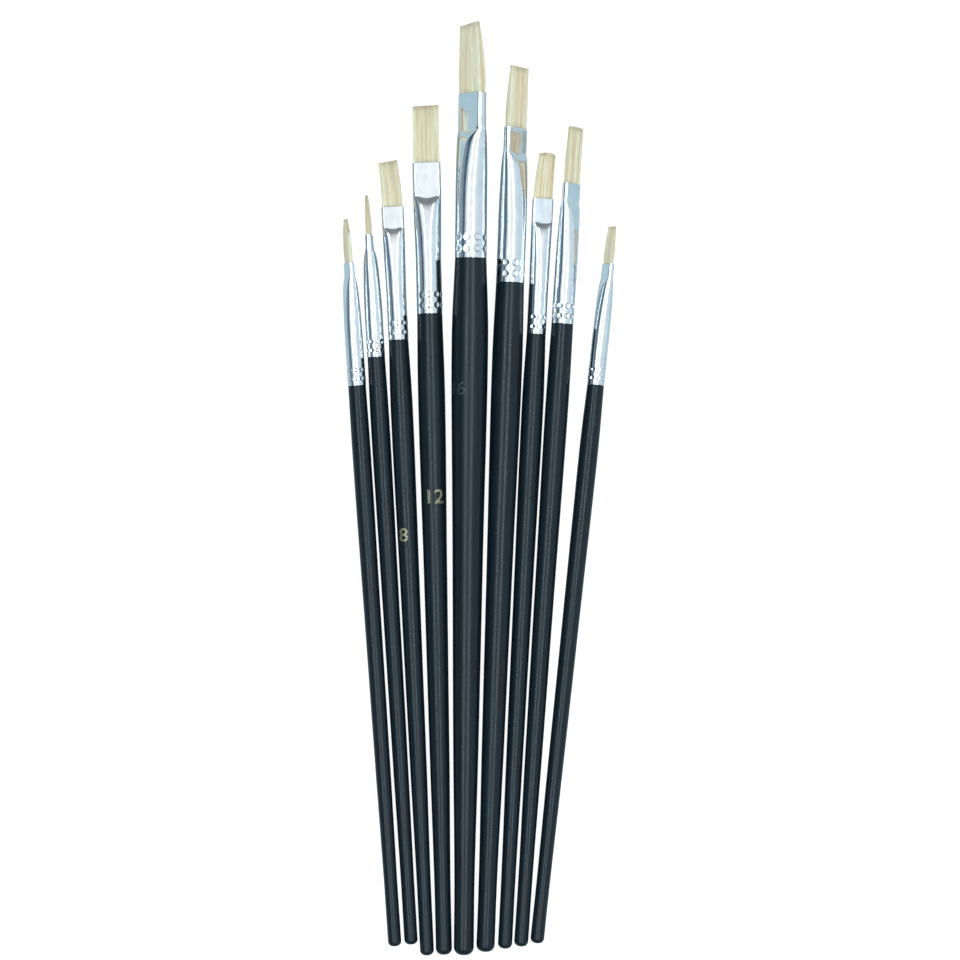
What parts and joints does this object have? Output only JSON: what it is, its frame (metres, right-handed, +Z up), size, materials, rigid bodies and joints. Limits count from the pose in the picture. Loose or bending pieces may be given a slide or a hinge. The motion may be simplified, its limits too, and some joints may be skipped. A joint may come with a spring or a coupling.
{
  "type": "flat bristle tint brush set",
  "caption": "Graded set of long-handled flat bristle brushes laid out in a fan, each with a turned dark handle, a flattened metal ferrule and a chisel-edged tuft.",
  "frame": {"origin": "on the table, under the middle of the whole set's bounding box", "axes": "+Y from the handle ends towards the bristles, +X to the right seen from above, +Z up from the table"},
  "size_m": [0.0882, 0.3004, 0.0124],
  "materials": {
    "handle_lacquer": "near-black satin lacquer over turned wood, worn to faint streaks along the grain",
    "ferrule_metal": "polished",
    "tuft_resin": "cured amber resin",
    "bristle": "natural off-white hog bristle, satin"
  },
  "bodies": {
    "brush_02": {"brush_02_handle": "handle_lacquer", "brush_02_ferrule": "ferrule_metal", "brush_02_resin_plug": "tuft_resin", "brush_02_tuft": "bristle"},
    "brush_04": {"brush_04_handle": "handle_lacquer", "brush_04_ferrule": "ferrule_metal", "brush_04_resin_plug": "tuft_resin", "brush_04_tuft": "bristle"},
    "brush_08": {"brush_08_handle": "handle_lacquer", "brush_08_ferrule": "ferrule_metal", "brush_08_resin_plug": "tuft_resin", "brush_08_tuft": "bristle"},
    "brush_12": {"brush_12_handle": "handle_lacquer", "brush_12_ferrule": "ferrule_metal", "brush_12_resin_plug": "tuft_resin", "brush_12_tuft": "bristle"},
    "brush_16": {"brush_16_handle": "handle_lacquer", "brush_16_ferrule": "ferrule_metal", "brush_16_resin_plug": "tuft_resin", "brush_16_tuft": "bristle"},
    "brush_14": {"brush_14_handle": "handle_lacquer", "brush_14_ferrule": "ferrule_metal", "brush_14_resin_plug": "tuft_resin", "brush_14_tuft": "bristle"},
    "brush_06": {"brush_06_handle": "handle_lacquer", "brush_06_ferrule": "ferrule_metal", "brush_06_resin_plug": "tuft_resin", "brush_06_tuft": "bristle"},
    "brush_10": {"brush_10_handle": "handle_lacquer", "brush_10_ferrule": "ferrule_metal", "brush_10_resin_plug": "tuft_resin", "brush_10_tuft": "bristle"},
    "brush_01": {"brush_01_handle": "handle_lacquer", "brush_01_ferrule": "ferrule_metal", "brush_01_resin_plug": "tuft_resin", "brush_01_tuft": "bristle"}
  },
  "joints": [
    {"name": "lift_brush_02", "type": "slide", "parent": "brush_16", "child": "brush_02", "axis": [0, 0, 1], "range_m": [0, 0.06]},
    {"name": "lift_brush_04", "type": "slide", "parent": "brush_16", "child": "brush_04", "axis": [0, 0, 1], "range_m": [0, 0.06]},
    {"name": "lift_brush_08", "type": "slide", "parent": "brush_16", "child": "brush_08", "axis": [0, 0, 1], "range_m": [0, 0.06]},
    {"name": "lift_brush_12", "type": "slide", "parent": "brush_16", "child": "brush_12", "axis": [0, 0, 1], "range_m": [0, 0.06]},
    {"name": "lift_brush_14", "type": "slide", "parent": "brush_16", "child": "brush_14", "axis": [0, 0, 1], "range_m": [0, 0.06]},
    {"name": "lift_brush_06", "type": "slide", "parent": "brush_16", "child": "brush_06", "axis": [0, 0, 1], "range_m": [0, 0.06]},
    {"name": "lift_brush_10", "type": "slide", "parent": "brush_16", "child": "brush_10", "axis": [0, 0, 1], "range_m": [0, 0.06]},
    {"name": "lift_brush_01", "type": "slide", "parent": "brush_16", "child": "brush_01", "axis": [0, 0, 1], "range_m": [0, 0.06]}
  ]
}
